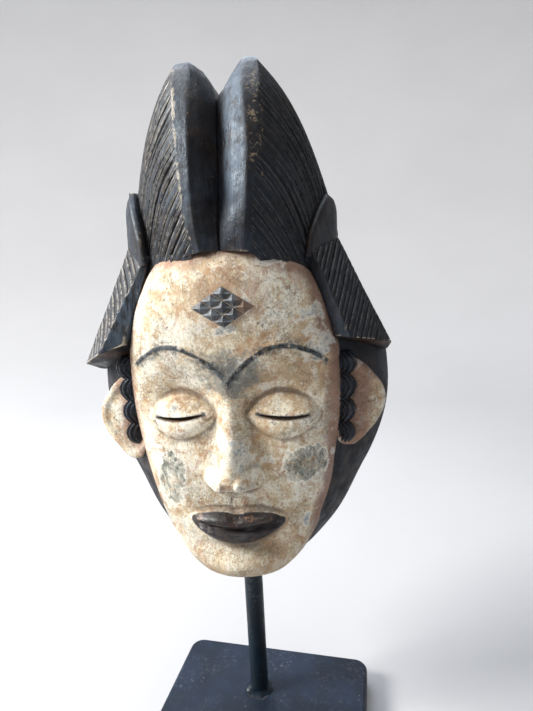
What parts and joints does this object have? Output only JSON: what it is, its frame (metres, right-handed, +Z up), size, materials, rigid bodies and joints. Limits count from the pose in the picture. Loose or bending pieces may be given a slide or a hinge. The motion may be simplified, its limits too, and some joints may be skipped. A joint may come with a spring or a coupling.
{
  "type": "punu mask",
  "caption": "Carved and painted wooden mask with a lobed combed crest, held on a black rod above a square base.",
  "frame": {"origin": "middle of the base's underside", "axes": "+Z up along the rod, the mask looks along -Y turned 6 degrees towards +X"},
  "size_m": [0.1774, 0.134, 0.4105],
  "materials": {
    "carved_wood": "worn kaolin and dark pigment on carved wood",
    "black_rod": "black paint on steel",
    "base_paint": "blue-black satin paint on wood, scuffed"
  },
  "bodies": {
    "root": {"mask": "carved_wood", "rod": "black_rod", "base": "base_paint"}
  },
  "joints": []
}
